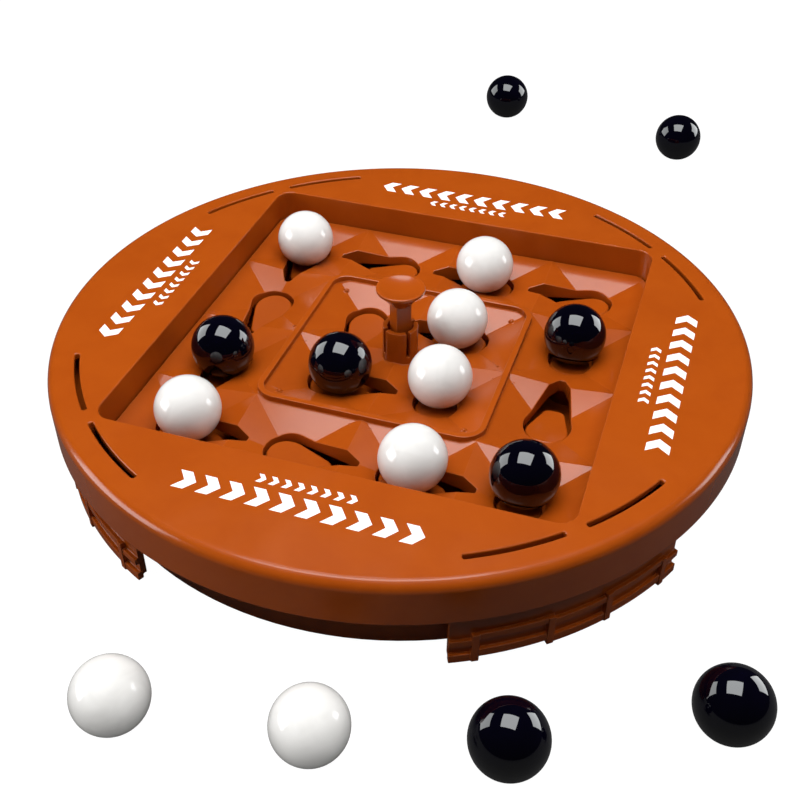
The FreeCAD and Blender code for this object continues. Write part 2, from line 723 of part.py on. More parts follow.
def leg_screws():
    """Eight short screws from inside the tub, two into each leg."""
    screws = []
    for diagonal in DIAGONALS:
        for side in (-1, 1):
            angle = f"{diagonal} + {side} * leg_screw_angle"
            screws.append(fuse("leg_screw", [
                radial("leg_screw_head", "head_wide * 0.8", "drum_inner - head_tall - stop_gap",
                       "drum_inner - stop_gap", angle),
                radial("leg_screw_shank", "screw_radius", "drum_inner - stop_gap - 1",
                       "drum_inner + leg_screw_long - 0.5", angle)]))
    return group("leg_screws", screws)


def marble(name, x, y, z):
    """One marble with its centre at a place."""
    ball = doc.addObject("Part::Sphere", name)
    bind(ball, Radius="marble_radius")
    return place(ball, x, y, z)


def marbles(colour, seats, loose):
    """The marbles of one colour: those in their seats, then those lying on the table."""
    balls = []
    for seat in seats:
        step = STEPS[seat]
        balls.append(marble(f"{colour}_marble_{len(balls) + 1}",
                            f"({seat[0]} - 1.5) * pitch + {step[0]} * marble_shift",
                            f"({seat[1]} - 1.5) * pitch + {step[1]} * marble_shift",
                            "marble_centre"))
    for angle, share in loose:
        reach = f"(disc_radius + {share} * loose_gap)"
        balls.append(marble(f"{colour}_marble_{len(balls) + 1}",
                            f"{reach} * cos({angle})", f"{reach} * sin({angle})",
                            "marble_radius"))
    return balls


# The whole board

def build():
    """Every sub-part of the board, each as one object labelled with its node's name."""
    parts = [top_cover(), base_shell(), track_tray(), press_knob(), lifter_plate(),
             cover_screws(), plate_screws(), stop_screws(), leg_screws()]
    parts.append(upright_screw("knob_screw", "hub_bottom - head_tall", "hub_bottom",
                               "hub_bottom - 1", "stem_bottom + 8", 0, 0))
    parts += [return_spring(index) for index in range(4)]
    parts += marbles("white", WHITE_SEATS, WHITE_LOOSE)
    parts += marbles("black", BLACK_SEATS, BLACK_LOOSE)
    pattern = corner_leg()
    doc.recompute()
    for index, diagonal in enumerate(DIAGONALS, 1):
        leg = feature(f"corner_leg_{index}", pattern.Shape.copy())
        leg.Placement = FreeCAD.Placement(
            FreeCAD.Vector(), FreeCAD.Rotation(FreeCAD.Vector(0, 0, 1), diagonal))
        parts.append(leg)
    doc.recompute()
    return parts


def export(parts):
    """Check every object, then write each sub-part to its own file."""
    failed = [item.Name for item in doc.Objects
              if "Invalid" in item.State or "Error" in item.State]
    if failed:
        raise RuntimeError(f"objects that did not build: {failed}")
    for part in parts:
        if part.Shape.isNull() or not part.Shape.isValid():
            raise RuntimeError(f"{part.Label} has no valid shape")
    os.makedirs("parts", exist_ok=True)
    for part in parts:
        part.Shape.exportStep(f"parts/{part.Label}.step")
        print(f"{part.Label}: {len(part.Shape.Solids)} solids, {part.Shape.Volume:.0f} mm3")


export(build())
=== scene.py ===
"""Looks of a round marble board: a faceted tray in a square well, a press knob, legs and marbles."""
import json
import logging
from collections.abc import Callable
from dataclasses import dataclass
from enum import Enum
from math import cos, pi, radians, sin

import bpy
from mathutils import Matrix, Quaternion, Vector
from mathutils.bvhtree import BVHTree


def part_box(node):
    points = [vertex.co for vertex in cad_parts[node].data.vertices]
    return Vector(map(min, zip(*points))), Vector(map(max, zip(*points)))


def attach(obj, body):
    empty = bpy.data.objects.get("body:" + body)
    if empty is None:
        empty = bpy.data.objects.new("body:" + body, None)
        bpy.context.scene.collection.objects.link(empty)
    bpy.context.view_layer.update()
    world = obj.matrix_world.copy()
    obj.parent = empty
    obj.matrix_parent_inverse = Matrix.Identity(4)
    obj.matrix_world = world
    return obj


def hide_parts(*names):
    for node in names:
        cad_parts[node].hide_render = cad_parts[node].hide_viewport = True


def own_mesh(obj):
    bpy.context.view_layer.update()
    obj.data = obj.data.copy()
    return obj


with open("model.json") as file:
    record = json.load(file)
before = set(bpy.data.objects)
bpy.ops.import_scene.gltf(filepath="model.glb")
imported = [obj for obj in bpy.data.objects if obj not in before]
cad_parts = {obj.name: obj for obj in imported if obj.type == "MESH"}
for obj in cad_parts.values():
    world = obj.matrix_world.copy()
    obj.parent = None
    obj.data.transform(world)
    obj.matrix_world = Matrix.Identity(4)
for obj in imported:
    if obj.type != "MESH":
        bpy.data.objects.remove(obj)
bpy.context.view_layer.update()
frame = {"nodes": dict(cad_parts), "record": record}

MM = 0.001
# Corners closer than this are one: in a mesh made here, and in a CAD node's loose triangles.
WELD = 0.001 * MM
CAD_WELD = 0.002 * MM
BODY_OF = {node: body for body, nodes in frame["record"]["behaviour"]["bodies"].items()
           for node in nodes}
log = logging.getLogger("marble_board")

Piece = bpy.types.Object
Socket = bpy.types.NodeSocket
Colour = tuple[float, float, float, float]


class Slot(Enum):
    """The record's material slots."""

    TERRACOTTA = "terracotta_plastic"
    WHITE = "white_gloss"
    BLACK = "black_gloss"
    SCREW = "screw_steel"
    SPRING = "spring_steel"


# Working on meshes as by hand

def deselect_all() -> None:
    """Leave nothing selected."""
    if bpy.context.mode != "OBJECT":
        bpy.ops.object.mode_set(mode="OBJECT")
    bpy.ops.object.select_all(action="DESELECT")


def pick(piece: Piece) -> None:
    """Select one piece alone and make it active.

    Args:
        piece: the piece.
    """
    deselect_all()
    piece.select_set(True)
    bpy.context.view_layer.objects.active = piece


def edit(piece: Piece, mode: str = "VERT", everything: bool = False) -> None:
    """Open a piece in edit mode.

    Args:
        piece: the piece to open.
        mode: VERT, EDGE or FACE.
        everything: whether all of it starts selected.
    """
    pick(piece)
    bpy.ops.object.mode_set(mode="EDIT")
    bpy.ops.mesh.select_mode(type=mode)
    bpy.ops.mesh.select_all(action="SELECT" if everything else "DESELECT")


def choose(piece: Piece, kind: str, test: Callable[..., bool]) -> None:
    """Select, in edit mode, the vertices, edges or faces that pass a test.

    Args:
        piece: the piece, open in edit mode.
        kind: VERT, EDGE or FACE.
        test: takes an element's middle, and a face's normal too, and says whether it is wanted.
    """
    bpy.ops.mesh.select_mode(type=kind)
    bpy.ops.mesh.select_all(action="DESELECT")
    bpy.ops.object.mode_set(mode="OBJECT")
    mesh = piece.data
    if kind == "VERT":
        for vertex in mesh.vertices:
            vertex.select = test(vertex.co)
    elif kind == "EDGE":
        for line in mesh.edges:
            first, second = (mesh.vertices[index].co for index in line.vertices)
            line.select = test((first + second) / 2)
    else:
        for polygon in mesh.polygons:
            polygon.select = test(polygon.center, polygon.normal)
    bpy.ops.object.mode_set(mode="EDIT")


def finish_mesh(piece: Piece) -> None:
    """Merge doubles and turn all faces outwards, then leave edit mode.

    Args:
        piece: the piece.
    """
    edit(piece, everything=True)
    bpy.ops.mesh.remove_doubles(threshold=WELD)
    bpy.ops.mesh.normals_make_consistent(inside=False)
    bpy.ops.object.mode_set(mode="OBJECT")


def modify(piece: Piece, kind: str, **settings: object) -> None:
    """Add a modifier to a piece and apply it.

    Args:
        piece: the piece.
        kind: the modifier's type.
        settings: its own properties.
    """
    modifier = piece.modifiers.new("step", kind)
    for name, value in settings.items():
        setattr(modifier, name, value)
    pick(piece)
    bpy.ops.object.modifier_apply(modifier=modifier.name)


def join(pieces: list[Piece], name: str) -> Piece:
    """Join several pieces into one.

    Args:
        pieces: the pieces, the first of which stays.
        name: the joined piece's name.

    Returns:
        The joined piece.
    """
    pick(pieces[0])
    for piece in pieces[1:]:
        piece.select_set(True)
    bpy.ops.object.join()
    pieces[0].name = name
    return pieces[0]


def copy_of_node(node: str, name: str) -> Piece:
    """A new piece with its own copy of a CAD node's mesh.

    Args:
        node: the node's name.
        name: the piece's name.

    Returns:
        The piece.
    """
    piece = bpy.data.objects.new(name, frame["nodes"][node].data.copy())
    bpy.context.scene.collection.objects.link(piece)
    return piece


def copy_of(piece: Piece, place: Matrix) -> Piece:
    """A copy of a piece with its own mesh, put at a place.

    Args:
        piece: the piece to copy.
        place: where the copy goes.

    Returns:
        The copy, with its place in its mesh.
    """
    copied = piece.copy()
    copied.data = piece.data.copy()
    copied.data.transform(place)
    bpy.context.scene.collection.objects.link(copied)
    return copied


def turned(name: str, outline: list[tuple[float, float]], steps: int) -> Piece:
    """A solid turned about Z from an outline.

    Args:
        name: the piece's name.
        outline: (radius, height) points, both ends on the axis or the last joined to the first.
        steps: how many faces go round.

    Returns:
        The turned piece.
    """
    bpy.ops.mesh.primitive_plane_add(size=MM)
    piece = bpy.context.object
    piece.name = name
    edit(piece, everything=True)
    bpy.ops.mesh.merge(type="CENTER")
    radius, height = outline[0]
    bpy.ops.transform.translate(value=(radius, 0, height))
    for following in outline[1:]:
        step = (following[0] - radius, 0, following[1] - height)
        bpy.ops.mesh.extrude_region_move(TRANSFORM_OT_translate={"value": step})
        radius, height = following
    bpy.ops.mesh.select_all(action="SELECT")
    bpy.ops.mesh.spin(steps=steps, angle=2 * pi, center=(0, 0, 0), axis=(0, 0, 1))
    finish_mesh(piece)
    return piece


def arc(centre: tuple[float, float], radius: float, start: float, end: float,
        count: int) -> list[tuple[float, float]]:
    """Points along an arc of an outline.

    Args:
        centre: the arc's centre.
        radius: its radius.
        start: the first angle in degrees.
        end: the last angle in degrees.
        count: how many steps it takes.

    Returns:
        The points, both ends with them.
    """
    angles = [radians(start + (end - start) * step / count) for step in range(count + 1)]
    return [(centre[0] + radius * cos(angle), centre[1] + radius * sin(angle))
            for angle in angles]


def combine(piece: Piece, other: Piece, operation: str) -> None:
    """Join another solid to a piece or cut it out, and use the other up.

    Args:
        piece: the piece that stays.
        other: the other solid.
        operation: UNION or DIFFERENCE.
    """
    modify(piece, "BOOLEAN", operation=operation, object=other, solver="EXACT")
    bpy.data.objects.remove(other)


def rounded_square(half: float, corner: float, bottom: float, top: float) -> Piece:
    """An upright square block about Z with round corners.

    Args:
        half: half its width.
        corner: the corners' radius.
        bottom: its lowest height.
        top: its highest height.

    Returns:
        The block.
    """
    bpy.ops.mesh.primitive_plane_add(size=2 * half, location=(0, 0, bottom))
    block = bpy.context.object
    bpy.ops.object.transform_apply(location=True)
    edit(block, everything=True)
    bpy.ops.mesh.bevel(offset=corner, segments=10, affect="VERTICES")
    bpy.ops.mesh.select_all(action="SELECT")
    bpy.ops.mesh.extrude_region_move(TRANSFORM_OT_translate={"value": (0, 0, top - bottom)})
    finish_mesh(block)
    return block


def upright_rod(radius: float, bottom: float, top: float, spot: Vector) -> Piece:
    """An upright rod.

    Args:
        radius: its radius.
        bottom: its lowest height.
        top: its highest height.
        spot: a point on its axis.

    Returns:
        The rod.
    """
    middle = (spot.x, spot.y, (bottom + top) / 2)
    bpy.ops.mesh.primitive_cylinder_add(vertices=36, radius=radius, depth=top - bottom,
                                        location=middle)
    rod = bpy.context.object
    bpy.ops.object.transform_apply(location=True)
    return rod


def curved_bar(inner: float, outer: float, bottom: float, top: float,
               start: float, end: float) -> Piece:
    """A bar that follows a circle about Z.

    Args:
        inner: its inner radius.
        outer: its outer radius.
        bottom: its lowest height.
        top: its highest height.
        start: the angle in degrees where it starts.
        end: the angle where it ends.

    Returns:
        The bar.
    """
    bpy.ops.mesh.primitive_plane_add(size=1)
    bar = bpy.context.object
    bar.scale = (outer - inner, top - bottom, 1)
    bar.rotation_euler = (pi / 2, 0, 0)
    bar.location = ((inner + outer) / 2, 0, (bottom + top) / 2)
    bpy.ops.object.transform_apply(location=True, rotation=True, scale=True)
    edit(bar, everything=True)
    bpy.ops.mesh.spin(steps=12, angle=radians(end - start), center=(0, 0, 0), axis=(0, 0, 1))
    finish_mesh(bar)
    bar.data.transform(Matrix.Rotation(radians(end), 4, "Z"))
    return bar


def loose_boxes(node: str) -> list[tuple[Vector, Vector]]:
    """The lowest and highest corner of each loose solid in a CAD node.

    Args:
        node: the node's name.

    Returns:
        The pairs of corners, in order of X and Y.
    """
    edit(copy_of_node(node, "probe"), everything=True)
    bpy.ops.mesh.remove_doubles(threshold=CAD_WELD)
    bpy.ops.mesh.separate(type="LOOSE")
    bpy.ops.object.mode_set(mode="OBJECT")
    corners = []
    for part in list(bpy.context.selected_objects):
        spots = [vertex.co for vertex in part.data.vertices]
        corners.append((Vector(min(spot[axis] for spot in spots) for axis in range(3)),
                        Vector(max(spot[axis] for spot in spots) for axis in range(3))))
        bpy.data.objects.remove(part)
    return sorted(corners, key=lambda pair: (round(pair[0].x, 5), round(pair[0].y, 5)))


def soften(piece: Piece, width: float, sharper_than: float, steps: int = 2,
           flat_within: float = 0.5, smooth_under: float = 32.0) -> None:
    """Round a piece's sharp edges as a mould leaves them and shade it smooth between them.

    Args:
        piece: the piece.
        width: how far its edges are rounded.
        sharper_than: the least turn, in degrees, of an edge that is rounded.
        steps: how many faces make up a rounded edge.
        flat_within: faces that turn less than this many degrees are one flat.
        smooth_under: edges that turn less than this many degrees are shaded smooth.
    """
    edit(piece, everything=True)
    bpy.ops.mesh.dissolve_limited(angle_limit=radians(flat_within))
    bpy.ops.object.mode_set(mode="OBJECT")
    modify(piece, "BEVEL", width=width, segments=steps, limit_method="ANGLE",
           angle_limit=radians(sharper_than), use_clamp_overlap=False, miter_outer="MITER_ARC")
    bpy.ops.object.shade_smooth_by_angle(angle=radians(smooth_under))
    crisp_facets(piece)
    weigh(piece)


def crisp_facets(piece: Piece, least: float = 0.8 * MM * MM, upright: float = 0.87) -> None:
    """Shade the sloping flats of a piece's upper side flat, with hard lines between them.

    Args:
        piece: the piece, shaded smooth.
        least: the least area of a flat.
        upright: the least Z of its normal.
    """
    for face in piece.data.polygons:
        if face.normal.z > upright and face.area > least:
            face.use_smooth = False


def weigh(piece: Piece) -> None:
    """Let a piece's large faces stay flat in its smooth shading.

    Args:
        piece: the piece.
    """
    modify(piece, "WEIGHTED_NORMAL", keep_sharp=True)


# Nodes, and the effects that several finishes share

class Nodes:
    """A node tree under construction."""

    def __init__(self, tree: bpy.types.NodeTree) -> None:
        """Work on a tree."""
        self.tree = tree

    def add(self, kind: str, sockets: dict | None = None, **settings: object) -> bpy.types.Node:
        """Add a node, with its settings, values and links.

        Args:
            kind: the node's type, without ShaderNode before it.
            sockets: values or output sockets for its inputs, by name or number.
            settings: the node's own properties.

        Returns:
            The node.
        """
        node = self.tree.nodes.new("ShaderNode" + kind)
        for name, value in settings.items():
            setattr(node, name, value)
        for key, value in (sockets or {}).items():
            if isinstance(value, Socket):
                self.tree.links.new(value, node.inputs[key])
            else:
                node.inputs[key].default_value = value
        return node

    def spread(self, share: Socket, low: float, high: float, start: float = 0.0,
               end: float = 1.0) -> Socket:
        """Stretch a share between start and end to the range from low to high."""
        return self.add("MapRange", {"Value": share, "From Min": start, "From Max": end,
                                     "To Min": low, "To Max": high}).outputs["Result"]


class Effect(Nodes):
    """A shader node group under construction.

    Attributes:
        takes: the group's inputs, as outputs of its first node.
        gives: its outputs, as inputs of its last.
        place: Object coordinates.
    """

    def __init__(self, name: str, takes: dict[str, float], gives: list[str]) -> None:
        """Make the group.

        Args:
            name: its name.
            takes: its number inputs and their usual values.
            gives: its number outputs.
        """
        super().__init__(bpy.data.node_groups.new(name, "ShaderNodeTree"))
        sockets, number = self.tree.interface, "NodeSocketFloat"
        for title, usual in takes.items():
            socket = sockets.new_socket(title, in_out="INPUT", socket_type=number)
            socket.default_value = usual
        for title in gives:
            sockets.new_socket(title, in_out="OUTPUT", socket_type=number)
        self.takes = self.tree.nodes.new("NodeGroupInput").outputs
        self.gives = self.tree.nodes.new("NodeGroupOutput").inputs
        self.place = self.add("TexCoord").outputs["Object"]

    def give(self, name: str, socket: Socket) -> None:
        """Link a socket to one of the group's outputs."""
        self.tree.links.new(socket, self.gives[name])


def moulding_effect() -> bpy.types.NodeTree:
    """Surface of moulded plastic: a fine pebble, slow sink waves and patches of tone.

    Returns:
        A group that takes Grain and Waves per metre, and gives Height and Tone.
    """
    effect = Effect("moulding", {"Grain": 2200.0, "Waves": 60.0}, ["Height", "Tone"])
    grained = {"Vector": effect.place, "Scale": effect.takes["Grain"]}
    waved = {"Vector": effect.place, "Scale": effect.takes["Waves"]}
    pebble = effect.add("TexVoronoi", {**grained, "Randomness": 1.0}, feature="SMOOTH_F1")
    fine = effect.add("TexNoise", {**grained, "Detail": 3.0})
    grain = effect.add("Math", {0: pebble.outputs["Distance"], 1: fine.outputs["Fac"]},
                       operation="MULTIPLY")
    waves = effect.add("TexNoise", {**waved, "Detail": 1.0})
    slow = effect.add("Math", {0: waves.outputs["Fac"], 1: 3.0, 2: grain.outputs[0]},
                      operation="MULTIPLY_ADD")
    effect.give("Height", slow.outputs[0])
    patches = effect.add("TexNoise", {**waved, "Detail": 4.0, "Roughness": 0.6, "Distortion": 0.4})
    effect.give("Tone", patches.outputs["Fac"])
    return effect.tree


def edge_wear_and_highlight_effect() -> bpy.types.NodeTree:
    """Where a surface turns sharply: the scuffed edges of a handled piece, which also stand for a
    painted highlight along the rims.

    Returns:
        A group that takes Radius in metres and Spots per metre, and gives Mask.
    """
    effect = Effect("rubbed_and_highlit_edges", {"Radius": 0.0004, "Spots": 300.0}, ["Mask"])
    rounded = effect.add("Bevel", {"Radius": effect.takes["Radius"]}, samples=4)
    plain = effect.add("NewGeometry").outputs["Normal"]
    alike = effect.add("VectorMath", {0: rounded.outputs["Normal"], 1: plain},
                       operation="DOT_PRODUCT")
    turn = effect.spread(alike.outputs["Value"], 0.0, 1.0, 0.995, 0.86)
    spots = effect.add("TexNoise", {"Vector": effect.place, "Scale": effect.takes["Spots"],
                                    "Detail": 3.0})
    patchy = effect.spread(spots.outputs["Fac"], 0.35, 1.0, 0.3, 0.62)
    mask = effect.add("Math", {0: turn, 1: patchy}, operation="MULTIPLY", use_clamp=True)
    effect.give("Mask", mask.outputs[0])
    return effect.tree


def handling_effect() -> bpy.types.NodeTree:
    """Faint smears and hairline scuffs that dull a gloss.

    Returns:
        A group that takes Smears and Hairs per metre, and gives Mask.
    """
    effect = Effect("handling", {"Smears": 45.0, "Hairs": 260.0}, ["Mask"])
    smear = effect.add("TexNoise", {"Vector": effect.place, "Scale": effect.takes["Smears"],
                                    "Detail": 5.0, "Distortion": 1.2})
    soft = effect.spread(smear.outputs["Fac"], 0.0, 0.7, 0.45, 0.75)
    stretched = effect.add("Mapping", {"Vector": effect.place, "Scale": (1.0, 0.06, 1.0),
                                       "Rotation": (0.2, 0.1, 0.7)})
    hair = effect.add("TexNoise", {"Vector": stretched.outputs["Vector"], "Detail": 8.0,
                                   "Scale": effect.takes["Hairs"], "Roughness": 0.75})
    thin = effect.spread(hair.outputs["Fac"], 0.0, 0.3, 0.64, 0.7)
    both = effect.add("Math", {0: soft, 1: thin}, operation="ADD", use_clamp=True)
    effect.give("Mask", both.outputs[0])
    return effect.tree


class Effects(Enum):
    """The shared effects, built once."""

    MOULDING = moulding_effect()
    EDGES = edge_wear_and_highlight_effect()
    HANDLING = handling_effect()


class Dressing(Nodes):
    """A material and the nodes in front of its shader."""

    def __init__(self, name: str) -> None:
        """Make a material with a plain shader.

        Args:
            name: the material's name.
        """
        self.material = bpy.data.materials.new(name)
        self.material.use_nodes = True
        super().__init__(self.material.node_tree)
        self.shader = self.tree.nodes["Principled BSDF"]

    def fix(self, **values: float | tuple) -> None:
        """Set the shader's own sockets; words in a name are joined by an underscore."""
        for name, value in values.items():
            self.shader.inputs[name.replace("_", " ")].default_value = value

    def effect(self, which: Effects, **values: float) -> bpy.types.NodeOutputs:
        """Place a shared effect.

        Args:
            which: the effect.
            values: this material's own values for its inputs.

        Returns:
            Its outputs.
        """
        node = self.tree.nodes.new("ShaderNodeGroup")
        node.node_tree = which.value
        for name, value in values.items():
            node.inputs[name].default_value = value
        return node.outputs

    def feed(self, name: str, socket: Socket) -> None:
        """Link a socket to one of the shader's inputs."""
        self.tree.links.new(socket, self.shader.inputs[name])

    def relief(self, height: Socket, strength: float, distance: float) -> None:
        """Let a height stand out of the surface."""
        bump = self.add("Bump", {"Height": height, "Strength": strength, "Distance": distance})
        self.feed("Normal", bump.outputs["Normal"])

    def blend(self, low: tuple | Socket, high: tuple | Socket, share: Socket) -> Socket:
        """Mix two colours, or sockets that give colours, by a share."""
        return self.add("Mix", {0: share, 6: low, 7: high}, data_type="RGBA").outputs[2]


# Finishes

@dataclass(frozen=True)
class Finish:
    """A finish that a material is made from.

    Attributes:
        name: the material's name.
        colour: its usual colour.
    """

    name: str
    colour: Colour

    def dress(self, dressing: Dressing) -> None:
        """Lay the finish's nodes."""
        raise NotImplementedError

    def make(self) -> bpy.types.Material:
        """Build the material.

        Returns:
            The material.
        """
        dressing = Dressing(self.name)
        self.dress(dressing)
        return dressing.material


@dataclass(frozen=True)
class MouldedPlastic(Finish):
    """Glossy moulded plastic.

    Attributes:
        deep: its colour in the darker patches.
        rubbed_and_highlight: its colour on sharp edges: partly real wear, partly a painted
            highlight.
        roughness: the lowest and highest roughness.
        grain: pebbles per metre.
        relief: how far the surface's relief stands out, in metres.
        index: index of refraction.
    """

    deep: Colour
    rubbed_and_highlight: Colour
    roughness: tuple[float, float] = (0.16, 0.24)
    grain: float = 1600.0
    relief: float = 0.000012
    index: float = 1.45

    def dress(self, dressing: Dressing) -> None:
        """Lay the finish's nodes."""
        moulding = dressing.effect(Effects.MOULDING, Grain=self.grain, Waves=70.0)
        edges = dressing.effect(Effects.EDGES, Radius=0.35 * MM, Spots=420.0)
        marks = dressing.effect(Effects.HANDLING, Smears=38.0, Hairs=240.0)
        patches = dressing.spread(moulding["Tone"], 0.0, 1.0, 0.38, 0.66)
        body = dressing.blend(self.colour, self.deep, patches)
        # Paler sharp edges: partly real wear, partly a painted highlight along the rims.
        worn_and_highlit = dressing.spread(edges["Mask"], 0.0, 0.55)
        dressing.feed("Base Color", dressing.blend(body, self.rubbed_and_highlight, worn_and_highlit))
        dressing.feed("Roughness", dressing.spread(marks["Mask"], *self.roughness))
        dressing.relief(moulding["Height"], 0.3, self.relief)
        dressing.fix(IOR=self.index)


@dataclass(frozen=True)
class MarbleGloss(Finish):
    """Hard polished marble: a clear gloss over a plain colour with a faint cloud in it.

    Attributes:
        cloud: the colour of the cloud.
        roughness: the lowest and highest roughness.
        index: index of refraction.
    """

    cloud: Colour
    roughness: tuple[float, float] = (0.03, 0.07)
    index: float = 1.6

    def dress(self, dressing: Dressing) -> None:
        """Lay the finish's nodes."""
        place = dressing.add("TexCoord").outputs["Object"]
        swirl = dressing.add("TexNoise", {"Vector": place, "Scale": 90.0, "Detail": 2.0,
                                          "Distortion": 1.5})
        share = dressing.spread(swirl.outputs["Fac"], 0.0, 1.0, 0.4, 0.7)
        dressing.feed("Base Color", dressing.blend(self.colour, self.cloud, share))
        marks = dressing.effect(Effects.HANDLING, Smears=90.0, Hairs=900.0)
        dressing.feed("Roughness", dressing.spread(marks["Mask"], *self.roughness))
        dressing.fix(IOR=self.index)


@dataclass(frozen=True)
class TurnedSteel(Finish):
    """Plated steel of screws and springs.

    Attributes:
        dull: its colour where it has dulled.
        roughness: the lowest and highest roughness.
    """

    dull: Colour
    roughness: tuple[float, float] = (0.22, 0.45)

    def dress(self, dressing: Dressing) -> None:
        """Lay the finish's nodes."""
        moulding = dressing.effect(Effects.MOULDING, Grain=5000.0, Waves=500.0)
        marks = dressing.effect(Effects.HANDLING, Smears=300.0, Hairs=2400.0)
        edges = dressing.effect(Effects.EDGES, Radius=0.12 * MM, Spots=1500.0)
        patches = dressing.spread(moulding["Tone"], 0.0, 1.0, 0.35, 0.7)
        dulled = dressing.blend(self.colour, self.dull, patches)
        dressing.feed("Base Color", dressing.blend(dulled, self.colour, edges["Mask"]))
        dressing.feed("Roughness", dressing.spread(marks["Mask"], *self.roughness))
        dressing.relief(moulding["Height"], 0.2, 0.004 * MM)
        dressing.fix(Metallic=1.0)


@dataclass(frozen=True)
class PrintedInk(Finish):
    """Matt white ink of a pad print, thin in places.

    Attributes:
        thin: its colour where the plastic shows through.
    """

    thin: Colour

    def dress(self, dressing: Dressing) -> None:
        """Lay the finish's nodes."""
        moulding = dressing.effect(Effects.MOULDING, Grain=9000.0, Waves=1400.0)
        share = dressing.spread(moulding["Tone"], 0.0, 0.3, 0.55, 0.8)
        dressing.feed("Base Color", dressing.blend(self.colour, self.thin, share))
        dressing.feed("Roughness", dressing.spread(moulding["Tone"], 0.35, 0.55))


# The pale edge colour of the terracotta is partly real wear, partly a painted highlight.
TERRACOTTA = MouldedPlastic("terracotta", colour=(0.335, 0.0600, 0.0038, 1),
                            deep=(0.312, 0.0535, 0.0032, 1), rubbed_and_highlight=(0.50, 0.16, 0.06, 1)).make()
WHITE = MarbleGloss("white_marble", colour=(0.745, 0.735, 0.715, 1), cloud=(0.69, 0.68, 0.66, 1),
                    roughness=(0.06, 0.12)).make()
BLACK = MarbleGloss("black_marble", colour=(0.0008, 0.0006, 0.0040, 1),
                    cloud=(0.0012, 0.0008, 0.0055, 1), roughness=(0.012, 0.035)).make()
SCREW_STEEL = TurnedSteel("screw_steel", colour=(0.62, 0.61, 0.60, 1),
                          dull=(0.42, 0.41, 0.40, 1)).make()
SPRING_STEEL = TurnedSteel("spring_steel", colour=(0.55, 0.56, 0.58, 1),
                           dull=(0.34, 0.35, 0.37, 1)).make()
INK = PrintedInk("white_ink", colour=(0.88, 0.88, 0.87, 1), thin=(0.80, 0.62, 0.52, 1)).make()


def hand_over(piece: Piece, material: bpy.types.Material, body: str,
              nodes: tuple[str, ...] = ()) -> None:
    """Dress a finished piece and tie it to the frame.

    Args:
        piece: the piece, finished.
        material: its material.
        body: the body that it rides on.
        nodes: the CAD nodes that it stands for.
    """
    piece.data.materials.clear()
    piece.data.materials.append(material)
    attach(piece, body)
    if nodes:
        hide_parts(*nodes)
    log.info("%s on %s: %d faces", piece.name, body, len(piece.data.polygons))


# The board's mouldings

@dataclass
class Moulding:
    """A plastic piece of the casing or the tray, with its edges rounded as a mould leaves them.

    Attributes:
        node: the CAD node that it stands for.
        name: the piece's name.
        round_by: how far its edges are rounded.
        sharper_than: the least turn, in degrees, of an edge that is rounded.
    """

    node: str
    name: str
    round_by: float
    sharper_than: float = 70.0

    def shape(self) -> Piece:
        """Copy the node's mesh, join its triangles and round its edges.

        Returns:
            The finished mesh's object.
        """
        piece = copy_of_node(self.node, self.name)
        edit(piece, everything=True)
        bpy.ops.mesh.customdata_custom_splitnormals_clear()
        bpy.ops.mesh.remove_doubles(threshold=CAD_WELD)
        bpy.ops.mesh.mark_sharp(clear=True)
        bpy.ops.object.mode_set(mode="OBJECT")
        self.clean(piece)
        finish_mesh(piece)
        soften(piece, self.round_by, self.sharper_than)
        return piece

    def clean(self, piece: Piece) -> None:
        """Mend the copied mesh, where it needs that.

        Args:
            piece: the copy, its doubles merged.
        """

    def build(self) -> None:
        """Make the piece and tie it to the frame."""
        hand_over(self.shape(), TERRACOTTA, BODY_OF[self.node], (self.node,))


@dataclass
class CoilSpring:
    """A return spring, copied from its CAD node.

    Attributes:
        index: its number.
        travel: how far the tray goes down; not used.
    """

    index: int
    travel: float = 6.0 * MM

    def build(self) -> None:
        """Make the spring and tie it to the frame."""
        node = f"return_spring_{self.index}"
        spring = copy_of_node(node, f"coil_spring_{self.index}")
        finish_mesh(spring)
        hand_over(spring, SPRING_STEEL, BODY_OF[node], (node,))
        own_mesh(spring)


@dataclass
class Tray(Moulding):
    """The faceted tray, whose spring seats and hub end flush with the facets over them.

    Attributes:
        seat_top: the height where the seats and the hub end in the CAD model.
        seats: how far the spring seats are from the middle.
        reach: how far from its axis a seat or the hub goes.
        level_within: how near a corner lies to that height to be brought down.
        slopes: the least and the greatest Z of a facet's normal.
        least_facet: the least area of a facet.
        join_within: how near corners lie that become one.
    """

    seat_top: float = 22.0 * MM
    seats: float = 35.0 * MM
    reach: float = 6.2 * MM
    level_within: float = 0.004 * MM
    slopes: tuple[float, float] = (0.9, 0.99)
    least_facet: float = 0.3 * MM * MM
    join_within: float = 0.03 * MM

    def clean(self, piece: Piece) -> None:
        """Bring down to the facets what stands out of them.

        Args:
            piece: the tray, its doubles merged.
        """
        mesh = piece.data
        steepest, flattest = self.slopes
        facets = [tuple(face.vertices) for face in mesh.polygons
                  if steepest < face.normal.z < flattest and face.area > self.least_facet]
        surface = BVHTree.FromPolygons([vertex.co for vertex in mesh.vertices], facets)
        axes = [Vector((x * self.seats, y * self.seats))
                for x, y in ((0, 0), (1, 0), (0, 1), (-1, 0), (0, -1))]
        for vertex in mesh.vertices:
            if (abs(vertex.co.z - self.seat_top) < self.level_within
                    and min((vertex.co.xy - axis).length for axis in axes) < self.reach):
                spot, normal, _, _ = surface.find_nearest(vertex.co)
                away = vertex.co - spot
                vertex.co.z = spot.z - (normal.x * away.x + normal.y * away.y) / normal.z
        edit(piece, everything=True)
        bpy.ops.mesh.remove_doubles(threshold=self.join_within)
        bpy.ops.mesh.dissolve_degenerate(threshold=self.join_within)
        bpy.ops.object.mode_set(mode="OBJECT")


